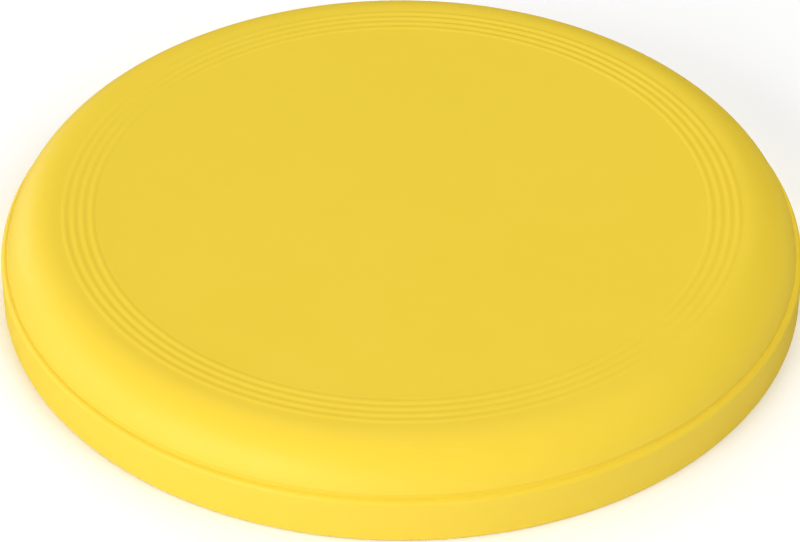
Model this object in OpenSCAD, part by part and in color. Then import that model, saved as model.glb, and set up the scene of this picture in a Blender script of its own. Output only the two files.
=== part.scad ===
// Flying disc: one moulded piece with a flat plate, raised rings, a rounded shoulder and a
// stepped rim band. Lengths are in millimetres and angles in degrees. The origin is on the
// disc's axis, in the plane that the rim stands on, and +Z points up through the plate.

/* [Overall] */
// Outside diameter across the rim band
disc_d = 230; // [200:1:270]
// Height from the foot of the rim to the top of the flat plate
disc_h = 26.3; // [24:0.1:32]
// Wall thickness of the plate and the shoulder
wall_t = 1.8; // [1.4:0.1:2.2]

/* [Shoulder] */
// Radius of the shoulder, which runs from the flat plate out to the rim
shoulder_r = 14.6; // [12:0.1:17]
// How far the shoulder still leans from the vertical where it turns down to the crease
shoulder_lean = 14; // [8:1:20]
// Radius of that turn
roll_r = 1.8; // [1.2:0.1:3]

/* [Raised rings] */
// Number of concentric rings just inside the shoulder
ring_count = 4; // [1:1:8]
// Distance from one ring's crest to the next
ring_pitch = 2.6; // [2:0.05:4]
// Width of the flat land between the last ring and the shoulder
ring_land = 1.3; // [0.2:0.1:4]
// Height of a ring above the plate
ring_h = 0.15; // [0.1:0.05:0.6]

/* [Rim band] */
// Height of the upright wall between the shoulder and the crease
crease_wall = 0.5; // [0.2:0.1:1.5]
// Radius of the crease at the foot of that wall
crease_r = 0.4; // [0.3:0.1:0.8]
// Width of the flat ledge between the crease and the band's upper edge
ledge_w = 0.1; // [0.1:0.1:1]
// Radius of the band's upper edge
band_edge_r = 1.4; // [1.3:0.1:2.4]
// Thickness of the wall at the crease
crease_t = 1.6; // [1.4:0.1:2]

/* [Foot of the rim] */
// Thickness of the rim at its foot, before its edges are rounded
foot_t = 3.4; // [3.2:0.1:3.5]
// Radius of the foot's outer edge
foot_outer_r = 1.2; // [0.6:0.1:1.4]
// Radius of the foot's inner edge
foot_inner_r = 0.9; // [0.4:0.1:1.2]

/* [Moulding gate] */
// Diameter of the gate mark in the middle of the underside
gate_d = 6; // [3:0.5:10]
// Height of the gate mark
gate_h = 0.5; // [0.2:0.1:1]

/* [Appearance] */
// Colour of the plastic, as red, green and blue
disc_colour = [0.93, 0.81, 0.25];

/* [Hidden] */
$fn = 180;

// Largest angle between two points of an arc in the outline
arc_step = 6;
// Points along the wave of one ring
ring_points = 10;

rim_x = disc_d / 2;

// The shoulder's arc ends in the roll, a tighter turn that is upright at its end.
shoulder_h = disc_h - shoulder_r;
band_step = crease_r + ledge_w + band_edge_r;
crease_x = rim_x - band_step;
roll_c = [crease_x - roll_r, shoulder_h + (shoulder_r - roll_r) * sin(shoulder_lean)];
shoulder_c = [roll_c[0] - (shoulder_r - roll_r) * cos(shoulder_lean), shoulder_h];

// Below it come the upright wall, the hollow crease, the ledge and the band's upper edge.
crease_c = [crease_x + crease_r, roll_c[1] - crease_wall];
band_edge_c = [rim_x - band_edge_r, crease_c[1] - crease_r - band_edge_r];

// The rim's inner wall leans out towards the foot, so that the disc leaves its mould.
inner_r = shoulder_r - wall_t;
inner_c = [crease_x - crease_t - inner_r, shoulder_h];
foot_x = rim_x - foot_t;
foot_reach = [foot_x - inner_c[0], shoulder_h];
draft = acos(inner_r / norm(foot_reach)) - atan2(foot_reach[1], foot_reach[0]);
foot_outer_c = [rim_x - foot_outer_r, foot_outer_r];
foot_inner_c = [foot_x + foot_inner_r / tan(45 + draft / 2), foot_inner_r];

rings_x = shoulder_c[0] - ring_land - ring_count * ring_pitch;

// Points of an arc round centre c, from angle a0 to angle a1
function arc(c, r, a0, a1) =
    let (steps = max(2, ceil(abs(a1 - a0) / arc_step)))
    [for (i = [0:steps]) let (a = a0 + (a1 - a0) * i / steps) c + r * [cos(a), sin(a)]];

// Points of the same arc without the first, which the arc before it already has
function arc_on(c, r, a0, a1) = [for (i = [1:len(arc(c, r, a0, a1)) - 1]) arc(c, r, a0, a1)[i]];

// Height of the rings' wave above the plate, u ring pitches out from where it starts
function ring_wave(u) = ring_h * (1 - cos(360 * u)) / 2;

// Points along the tops of the rings, from the plate out to the shoulder
function rings() =
    [for (i = [0:ring_count * ring_points]) let (u = i / ring_points)
        [rings_x + ring_pitch * u, disc_h + ring_wave(u)]];

// Half of the disc's cross-section: over the top, down the rim and back along the inside
function section() = concat(
    [[0, disc_h]],
    rings(),
    arc(shoulder_c, shoulder_r, 90, shoulder_lean),
    arc_on(roll_c, roll_r, shoulder_lean, 0),
    arc(crease_c, crease_r, 180, 270),
    arc(band_edge_c, band_edge_r, 90, 0),
    arc(foot_outer_c, foot_outer_r, 0, -90),
    arc(foot_inner_c, foot_inner_r, -90, -180 + draft),
    arc(inner_c, inner_r, draft, 90),
    [[0, disc_h - wall_t]]);

// The mark that the moulding gate leaves under the plate
module gate_mark() {
    overlap = 0.2;
    translate([0, 0, disc_h - wall_t - gate_h])
        cylinder(d = gate_d, h = gate_h + overlap);
}

module disc() {
    color(disc_colour)
    union() {
        rotate_extrude()
            polygon(section());
        gate_mark();
    }
}

disc();
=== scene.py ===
"""Flying disc: one moulded plastic disc on a pale floor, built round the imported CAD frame."""

import math

import bpy
import numpy as np
from mathutils import Matrix, Vector


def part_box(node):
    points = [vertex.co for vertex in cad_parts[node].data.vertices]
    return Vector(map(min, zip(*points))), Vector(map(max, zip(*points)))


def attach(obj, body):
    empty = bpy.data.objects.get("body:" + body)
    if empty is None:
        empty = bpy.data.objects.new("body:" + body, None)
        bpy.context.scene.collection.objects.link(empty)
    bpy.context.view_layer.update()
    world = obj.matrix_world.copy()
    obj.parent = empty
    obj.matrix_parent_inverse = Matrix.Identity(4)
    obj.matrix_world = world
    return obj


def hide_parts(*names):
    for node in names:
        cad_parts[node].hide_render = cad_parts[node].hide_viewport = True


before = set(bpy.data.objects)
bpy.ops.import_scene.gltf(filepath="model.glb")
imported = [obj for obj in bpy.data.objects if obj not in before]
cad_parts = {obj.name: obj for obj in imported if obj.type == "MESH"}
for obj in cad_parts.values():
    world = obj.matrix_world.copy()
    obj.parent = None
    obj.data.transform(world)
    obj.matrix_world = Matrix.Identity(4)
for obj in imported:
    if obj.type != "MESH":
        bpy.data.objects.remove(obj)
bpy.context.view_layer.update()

MM = 0.001

# ---------------------------------------------------------------- sizes of the moulding, in millimetres
low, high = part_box("disc")
RING_HEIGHT = 0.15
RIM_X = (high.x - low.x) / 2 / MM
DISC_H = (high.z - low.z) / MM - RING_HEIGHT

WALL_T = 1.8
SHOULDER_R = 14.6
SHOULDER_LEAN = 14.0
ROLL_R = 1.8

RING_COUNT = 4
RING_PITCH = 2.6
RING_LAND = 1.3

CREASE_WALL = 0.5
CREASE_R = 0.4
LEDGE_W = 0.1
BAND_EDGE_R = 1.4
CREASE_T = 1.6

FOOT_T = 3.4
FOOT_OUTER_R = 1.2
FOOT_INNER_R = 0.9

GATE_R = 3.0
GATE_H = 0.5
GATE_ROUND = 0.15
GATE_DIMPLE_R = 1.1
GATE_DIMPLE_DEPTH = 0.3

# The disc is turned in this many steps, halved at each of these radii on the way in to the middle.
TURN_STEPS = 240
HALVING_RADII = (60, 30, 14)

# How many steps each part of the outline is drawn in
PLATE_STEPS = 16
RING_STEPS = 16
SHOULDER_STEPS = 32
ROLL_STEPS = 5
CREASE_STEPS = 8
BAND_EDGE_STEPS = 12
BAND_STEPS = 6
FOOT_STEPS = 8
WALL_STEPS = 8
INNER_STEPS = 24
UNDER_STEPS = 20


def arc(centre, radius, start, end, steps):
    """Points of an arc round centre, from angle start to angle end in degrees."""
    angles = np.radians(np.linspace(start, end, steps + 1))
    return [(centre[0] + radius * math.cos(a), centre[1] + radius * math.sin(a)) for a in angles]


def straight(start, end, steps):
    """Points between start and end, without either."""
    return [
        (start[0] + (end[0] - start[0]) * i / steps, start[1] + (end[1] - start[1]) * i / steps)
        for i in range(1, steps)
    ]


def ring_tops(start_x, steps):
    """Points over the raised rings: a wave that starts and ends level with the plate."""
    return [
        (start_x + RING_PITCH * i / steps, DISC_H + RING_HEIGHT * (1 - math.cos(2 * math.pi * i / steps)) / 2)
        for i in range(RING_COUNT * steps + 1)
    ]


def gate_mark(under):
    """The moulding gate's mark under the plate, from its root in to the middle of its broken-off dimple."""
    tip = under - GATE_H
    points = arc((GATE_R + GATE_ROUND, under - GATE_ROUND), GATE_ROUND, 90, 180, 4)
    points += arc((GATE_R - GATE_ROUND, tip + GATE_ROUND), GATE_ROUND, 0, -90, 4)
    points += arc((GATE_DIMPLE_R + GATE_ROUND, tip + GATE_ROUND), GATE_ROUND, -90, -150, 3)
    points += [(GATE_DIMPLE_R * 0.6, tip + GATE_DIMPLE_DEPTH * 0.8)]
    points += [(GATE_DIMPLE_R * 0.25, tip + GATE_DIMPLE_DEPTH)]
    return points


def section():
    """The disc's half cross-section as two outlines.

    The outside runs from the middle of the plate out and down to the foot, and the inside from there back in.
    """
    lean = math.radians(SHOULDER_LEAN)
    band_step = CREASE_R + LEDGE_W + BAND_EDGE_R
    shoulder_h = DISC_H - SHOULDER_R
    crease_x = RIM_X - band_step
    roll_c = (crease_x - ROLL_R, shoulder_h + (SHOULDER_R - ROLL_R) * math.sin(lean))
    shoulder_c = (roll_c[0] - (SHOULDER_R - ROLL_R) * math.cos(lean), shoulder_h)
    rings_x = shoulder_c[0] - RING_LAND - RING_COUNT * RING_PITCH
    crease_c = (crease_x + CREASE_R, roll_c[1] - CREASE_WALL)
    band_edge_c = (RIM_X - BAND_EDGE_R, crease_c[1] - CREASE_R - BAND_EDGE_R)

    inner_r = SHOULDER_R - WALL_T
    inner_c = (crease_x - CREASE_T - inner_r, shoulder_h)
    foot_x = RIM_X - FOOT_T
    foot_reach = (foot_x - inner_c[0], shoulder_h)
    foot_angle = math.atan2(foot_reach[1], foot_reach[0])
    draft = math.degrees(math.acos(inner_r / math.hypot(*foot_reach)) - foot_angle)
    foot_outer_c = (RIM_X - FOOT_OUTER_R, FOOT_OUTER_R)
    foot_inner_c = (foot_x + FOOT_INNER_R / math.tan(math.radians(45 + draft / 2)), FOOT_INNER_R)

    outside = straight((0, DISC_H), (rings_x, DISC_H), PLATE_STEPS)
    outside += ring_tops(rings_x, RING_STEPS)
    outside += arc(shoulder_c, SHOULDER_R, 90, SHOULDER_LEAN, SHOULDER_STEPS)
    outside += arc(roll_c, ROLL_R, SHOULDER_LEAN, 0, ROLL_STEPS)[1:]
    outside += arc(crease_c, CREASE_R, 180, 270, CREASE_STEPS)
    outside += arc(band_edge_c, BAND_EDGE_R, 90, 0, BAND_EDGE_STEPS)
    outside += straight((RIM_X, band_edge_c[1]), (RIM_X, FOOT_OUTER_R), BAND_STEPS)
    outside += arc(foot_outer_c, FOOT_OUTER_R, 0, -90, FOOT_STEPS)

    under = DISC_H - WALL_T
    inside = arc(foot_inner_c, FOOT_INNER_R, -90, -180 + draft, FOOT_STEPS)
    wall_top = arc(inner_c, inner_r, draft, 90, INNER_STEPS)
    inside += straight(inside[-1], wall_top[0], WALL_STEPS)
    inside += wall_top
    inside += straight(wall_top[-1], (GATE_R + GATE_ROUND, under), UNDER_STEPS)
    inside += gate_mark(under)
    return outside, inside


def steps_at(radius):
    """How many steps the disc is turned in at this radius."""
    return TURN_STEPS // 2 ** sum(radius < r for r in HALVING_RADII)


def band_faces(first, first_steps, second, second_steps):
    """The faces between two circles of points.

    Where one circle has half the other's steps, they meet in triangles.
    """
    faces = []
    for j in range(min(first_steps, second_steps)):
        if first_steps == second_steps:
            k = (j + 1) % first_steps
            faces.append((first + j, second + j, second + k, first + k))
        elif first_steps < second_steps:
            k = (j + 1) % first_steps
            a, b, c = (second + (2 * j + i) % second_steps for i in range(3))
            faces += [(first + j, a, b), (first + j, b, first + k), (first + k, b, c)]
        else:
            k = (j + 1) % second_steps
            a, b, c = (first + (2 * j + i) % first_steps for i in range(3))
            faces += [(second + j, b, a), (second + j, second + k, b), (second + k, c, b)]
    return faces


def turned(name, outside, inside):
    """A closed mesh: the two outlines joined and turned round the Z axis.

    The outside's faces take the first material and the inside's the second.
    """
    outline = outside + inside
    verts, starts, counts = [], [], []
    for radius, height in outline:
        steps = steps_at(radius)
        starts.append(len(verts))
        counts.append(steps)
        for a in np.arange(steps) * 2 * math.pi / steps:
            verts.append((radius * math.cos(a) * MM, radius * math.sin(a) * MM, height * MM))
    top, bottom = len(verts), len(verts) + 1
    verts += [(0, 0, outline[0][1] * MM), (0, 0, outline[-1][1] * MM)]

    faces = [(top, starts[0] + j, starts[0] + (j + 1) % counts[0]) for j in range(counts[0])]
    for i in range(len(outline) - 1):
        if i == len(outside):
            outside_faces = len(faces)
        faces += band_faces(starts[i], counts[i], starts[i + 1], counts[i + 1])
    faces += [(bottom, starts[-1] + (j + 1) % counts[-1], starts[-1] + j) for j in range(counts[-1])]

    mesh = bpy.data.meshes.new(name)
    mesh.from_pydata(verts, [], faces)
    mesh.update()
    mesh.polygons.foreach_set("use_smooth", [True] * len(faces))
    inside_faces = len(faces) - outside_faces
    mesh.polygons.foreach_set("material_index", [0] * outside_faces + [1] * inside_faces)
    obj = bpy.data.objects.new(name, mesh)
    bpy.context.scene.collection.objects.link(obj)
    return obj


# ---------------------------------------------------------------- materials
def new_material(name):
    """An empty material, and a function that adds a node to it."""
    material = bpy.data.materials.new(name)
    material.use_nodes = True
    tree = material.node_tree
    tree.nodes.clear()

    def add(kind, inputs, **settings):
        """Add a node.

        Each input is a number, a colour or another node's output. Settings are the node's own options.
        """
        node = tree.nodes.new(kind)
        for key, value in settings.items():
            setattr(node, key, value)
        for key, value in inputs.items():
            if isinstance(value, bpy.types.NodeSocket):
                tree.links.new(value, node.inputs[key])
            else:
                node.inputs[key].default_value = value
        return node

    return material, add


def calc(add, operation, a, b):
    """The output of a Math node."""
    return add("ShaderNodeMath", {0: a, 1: b}, operation=operation).outputs[0]


def ramp(add, value, low_in, high_in, low_out, high_out):
    """A value's range mapped to another, with soft ends."""
    inputs = {
        "Value": value,
        "From Min": low_in,
        "From Max": high_in,
        "To Min": low_out,
        "To Max": high_out,
    }
    return add("ShaderNodeMapRange", inputs, interpolation_type="SMOOTHSTEP").outputs["Result"]


def mix(add, factor, a, b):
    """Two colours mixed. On this node the factor, the two colours and the result are 0, 6, 7 and 2."""
    return add("ShaderNodeMix", {0: factor, 6: a, 7: b}, data_type="RGBA").outputs[2]


def noise(add, vector, scale, detail):
    """Noise from 0 to 1. A scale of 100 has features of about 10 mm."""
    inputs = {"Vector": vector, "Scale": scale, "Detail": detail, "Roughness": 0.5}
    return add("ShaderNodeTexNoise", inputs).outputs["Fac"]


def bump(add, height, depth, normal):
    """A bump of this depth in metres, on top of another; normal is the one below it, or None."""
    inputs = {"Height": height, "Distance": depth, "Strength": 1.0}
    if normal is not None:
        inputs["Normal"] = normal
    return add("ShaderNodeBump", inputs).outputs["Normal"]


PLASTIC_FRESH = (0.868, 0.625, 0.0410, 1)
PLASTIC_DEEP = (0.852, 0.612, 0.0375, 1)
PLASTIC_RUBBED = (0.88, 0.70, 0.20, 1)
SPECULAR = 0.5

# Scales of the noises. The streaks' noise runs over the direction outwards and the radius, and the others
# over metres.
STREAK_SCALE = 4
CLOUD_SCALE = 22
PATCH_SCALE = 34
RUBBING_SCALE = 260
UNEVENNESS_SCALE = 150
GRAIN_SCALE = 2600

# Hairline scuffs: how far each axis is squeezed, and the turn in radians and the offset of each direction
HAIRLINE_SQUEEZE = (60, 2400, 60)
HAIRLINE_DIRECTIONS = ((0.4, 0.0), (2.1, 7.0))

# Lengths in metres
STREAK_FADE_RADIUS = 0.07
RUBBED_HEIGHT = 0.0013
TOOL_MARK_PITCH = 0.0006
UNEVENNESS_DEPTH = 12e-6
SCUFF_DEPTH = 3e-6


def moulded_plastic(name, roughness, grain_depth, tool_depth):
    """Satin moulded plastic with fine grain, faint flow marks, hairline scuffs and a rubbed foot.

    grain_depth is the depth in metres of the mould's fine grain, and tool_depth of its concentric tool marks.
    """
    material, add = new_material(name)
    place = add("ShaderNodeTexCoord", {}).outputs["Object"]
    axes = add("ShaderNodeSeparateXYZ", {"Vector": place}).outputs
    flat = add("ShaderNodeCombineXYZ", {"X": axes["X"], "Y": axes["Y"]}).outputs[0]
    radius = add("ShaderNodeVectorMath", {0: flat}, operation="LENGTH").outputs["Value"]
    outward = add("ShaderNodeVectorMath", {0: flat}, operation="NORMALIZE").outputs["Vector"]
    outward_axes = add("ShaderNodeSeparateXYZ", {"Vector": outward}).outputs
    depth_out = calc(add, "MULTIPLY", radius, 12)
    inputs = {"X": outward_axes["X"], "Y": outward_axes["Y"], "Z": depth_out}
    polar = add("ShaderNodeCombineXYZ", inputs).outputs[0]

    # Colour: soft clouds, and streaks that run out from the gate as the melt did.
    clouds = noise(add, place, CLOUD_SCALE, 2)
    streaks = calc(add, "SUBTRACT", noise(add, polar, STREAK_SCALE, 3), 0.5)
    flow = calc(add, "MULTIPLY", streaks, ramp(add, radius, 0, STREAK_FADE_RADIUS, 0, 0.6))
    tone = ramp(add, calc(add, "ADD", clouds, flow), 0.2, 0.8, 0, 1)

    # Fine hairline scuffs in two directions, here and there.
    hairlines = []
    for angle, offset in HAIRLINE_DIRECTIONS:
        inputs = {
            "Vector": place,
            "Location": (offset, offset, offset),
            "Rotation": (0, 0, angle),
            "Scale": HAIRLINE_SQUEEZE,
        }
        stretched = add("ShaderNodeMapping", inputs).outputs[0]
        hairlines.append(ramp(add, noise(add, stretched, 1, 1), 0.68, 0.76, 0, 1))
    patches = ramp(add, noise(add, place, PATCH_SCALE, 1), 0.52, 0.66, 0, 1)
    scuffs = calc(add, "MULTIPLY", calc(add, "MAXIMUM", hairlines[0], hairlines[1]), patches)

    # The foot is rubbed paler and rougher, where the disc slides on the ground.
    near_floor = ramp(add, axes["Z"], 0.0, RUBBED_HEIGHT, 1, 0)
    rubbing = ramp(add, noise(add, place, RUBBING_SCALE, 3), 0.40, 0.64, 0.2, 1)
    wear = calc(add, "MULTIPLY", near_floor, rubbing)

    colour = mix(add, tone, PLASTIC_FRESH, PLASTIC_DEEP)
    colour = mix(add, calc(add, "MULTIPLY", scuffs, 0.12), colour, PLASTIC_RUBBED)
    colour = mix(add, calc(add, "MULTIPLY", wear, 0.6), colour, PLASTIC_RUBBED)

    gloss = ramp(add, tone, 0, 1, roughness - 0.03, roughness + 0.04)
    gloss = calc(add, "ADD", gloss, calc(add, "MULTIPLY", scuffs, 0.10))
    gloss = calc(add, "ADD", gloss, calc(add, "MULTIPLY", wear, 0.25))

    # Relief: a slow unevenness of the skin, the mould's grain and tool marks, and the scuffs.
    skin = bump(add, noise(add, place, UNEVENNESS_SCALE, 1), UNEVENNESS_DEPTH, None)
    skin = bump(add, noise(add, place, GRAIN_SCALE, 2), grain_depth, skin)
    tool_wave = calc(add, "MULTIPLY", radius, 2 * math.pi / TOOL_MARK_PITCH)
    tool_marks = calc(add, "SINE", tool_wave, 0)
    skin = bump(add, calc(add, "MULTIPLY", tool_marks, patches), tool_depth, skin)
    skin = bump(add, scuffs, -SCUFF_DEPTH, skin)

    inputs = {
        "Base Color": colour,
        "Roughness": gloss,
        "Normal": skin,
        "Specular IOR Level": SPECULAR,
    }
    shader = add("ShaderNodeBsdfPrincipled", inputs)
    add("ShaderNodeOutputMaterial", {"Surface": shader.outputs["BSDF"]})
    return material


def floor_paint():
    """Plain pale matt paint, with a faint glow that lifts it towards white."""
    material, add = new_material("floor_paint")
    inputs = {
        "Base Color": (0.96, 0.96, 0.96, 1),
        "Roughness": 0.9,
        "Emission Color": (1, 1, 1, 1),
        "Emission Strength": 0.07,
    }
    shader = add("ShaderNodeBsdfPrincipled", inputs)
    add("ShaderNodeOutputMaterial", {"Surface": shader.outputs["BSDF"]})
    return material


# ---------------------------------------------------------------- the disc
disc = turned("flying_disc", *section())
outer_skin = moulded_plastic("satin_yellow_plastic", roughness=0.55, grain_depth=4e-6, tool_depth=0.0)
inner_skin = moulded_plastic("inner_yellow_plastic", roughness=0.48, grain_depth=2e-6, tool_depth=3e-6)
disc.data.materials.append(outer_skin)
disc.data.materials.append(inner_skin)
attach(disc, "root")
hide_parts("disc")

# ---------------------------------------------------------------- the floor
# A round floor that ends before it passes behind the lights
FLOOR_RADIUS = 1.85
FLOOR_SIDES = 96
floor_angles = [2 * math.pi * i / FLOOR_SIDES for i in range(FLOOR_SIDES)]
floor_edge = [(FLOOR_RADIUS * math.cos(a), FLOOR_RADIUS * math.sin(a), 0) for a in floor_angles]
floor_mesh = bpy.data.meshes.new("floor")
floor_mesh.from_pydata(floor_edge, [], [range(FLOOR_SIDES)])
floor = bpy.data.objects.new("floor", floor_mesh)
bpy.context.scene.collection.objects.link(floor)
floor.data.materials.append(floor_paint())
# The floor lights the disc, but its reflection would whiten the shaded rim.
floor.visible_glossy = False


# ---------------------------------------------------------------- light
def studio_world(seen, lit):
    """A white surrounding: the camera sees it at one strength, and it lights the scene at another."""
    world = bpy.data.worlds.new("studio")
    bpy.context.scene.world = world
    world.use_nodes = True
    nodes, links = world.node_tree.nodes, world.node_tree.links
    background = nodes["Background"]
    background.inputs["Color"].default_value = (1, 1, 1, 1)
    strength = nodes.new("ShaderNodeMapRange")
    strength.inputs["To Min"].default_value = lit
    strength.inputs["To Max"].default_value = seen
    links.new(nodes.new("ShaderNodeLightPath").outputs["Is Camera Ray"], strength.inputs["Value"])
    links.new(strength.outputs["Result"], background.inputs["Strength"])


# From the disc's foot to each light, and the sides of the lights, in metres
LIGHT_DISTANCE = 2.0
WIDE = 1.2
NARROW = 0.5


def soft_light(name, azimuth, elevation, power, size, shine):
    """A square area light that looks at the disc. Azimuth is measured from +X towards +Y.

    Without shine it lights the disc, but leaves no highlight on it.
    """
    light = bpy.data.lights.new(name, "AREA")
    light.shape = "SQUARE"
    light.size = size
    light.energy = power
    obj = bpy.data.objects.new(name, light)
    bpy.context.scene.collection.objects.link(obj)
    a, e = math.radians(azimuth), math.radians(elevation)
    direction = Vector((math.cos(a) * math.cos(e), math.sin(a) * math.cos(e), math.sin(e)))
    place = direction * LIGHT_DISTANCE
    obj.location = place
    obj.rotation_euler = (-place).to_track_quat("-Z", "Y").to_euler()
    obj.visible_glossy = shine


# Name, azimuth and elevation in degrees, power in watts, size, and whether the light leaves a highlight.
# The back has two lights, because only part of its light makes a highlight.
LIGHTS = (
    ("overhead", 0, 90, 12.0, WIDE, False),
    ("right", 0, 45, 4.8, WIDE, False),
    ("right_front", -45, 45, 15.6, WIDE, False),
    ("front_low", -90, 7, 5.0, NARROW, True),
    ("left_front", -135, 18, 21.6, WIDE, True),
    ("left", 180, 18, 10.2, WIDE, True),
    ("left_back_low", 135, 7, 7.2, NARROW, True),
    ("back", 90, 45, 9.4, WIDE, False),
    ("back_shine", 90, 45, 3.6, WIDE, True),
)

studio_world(seen=0.9, lit=0.0)
for light_settings in LIGHTS:
    soft_light(*light_settings)

# ---------------------------------------------------------------- camera
# Angles are in degrees, the lens and the sensor's width in millimetres, and the distance is in metres from
# the middle of the plate.
CAMERA_DISTANCE = 9.0 * RIM_X * MM
CAMERA_ELEVATION = 37.05
CAMERA_PITCH = 38.14
CAMERA_PAN = -0.03
CAMERA_ROLL = 0.19
LENS = 162.855
SENSOR_WIDTH = 36.0

camera_data = bpy.data.cameras.new("camera")
camera_data.sensor_width = SENSOR_WIDTH
camera_data.lens = LENS
camera = bpy.data.objects.new("camera", camera_data)
bpy.context.scene.collection.objects.link(camera)
bpy.context.scene.camera = camera
elevation, pitch, pan = (math.radians(v) for v in (CAMERA_ELEVATION, CAMERA_PITCH, CAMERA_PAN))
plate_middle = Vector((0, 0, DISC_H * MM))
camera.location = plate_middle + Vector((0, -math.cos(elevation), math.sin(elevation))) * CAMERA_DISTANCE
forward = Vector((math.sin(pan) * math.cos(pitch), math.cos(pan) * math.cos(pitch), -math.sin(pitch)))
turn = forward.to_track_quat("-Z", "Y").to_matrix() @ Matrix.Rotation(math.radians(CAMERA_ROLL), 3, "Z")
camera.rotation_euler = turn.to_euler()

bpy.context.scene.view_settings.view_transform = "Standard"

bpy.context.view_layer.update()
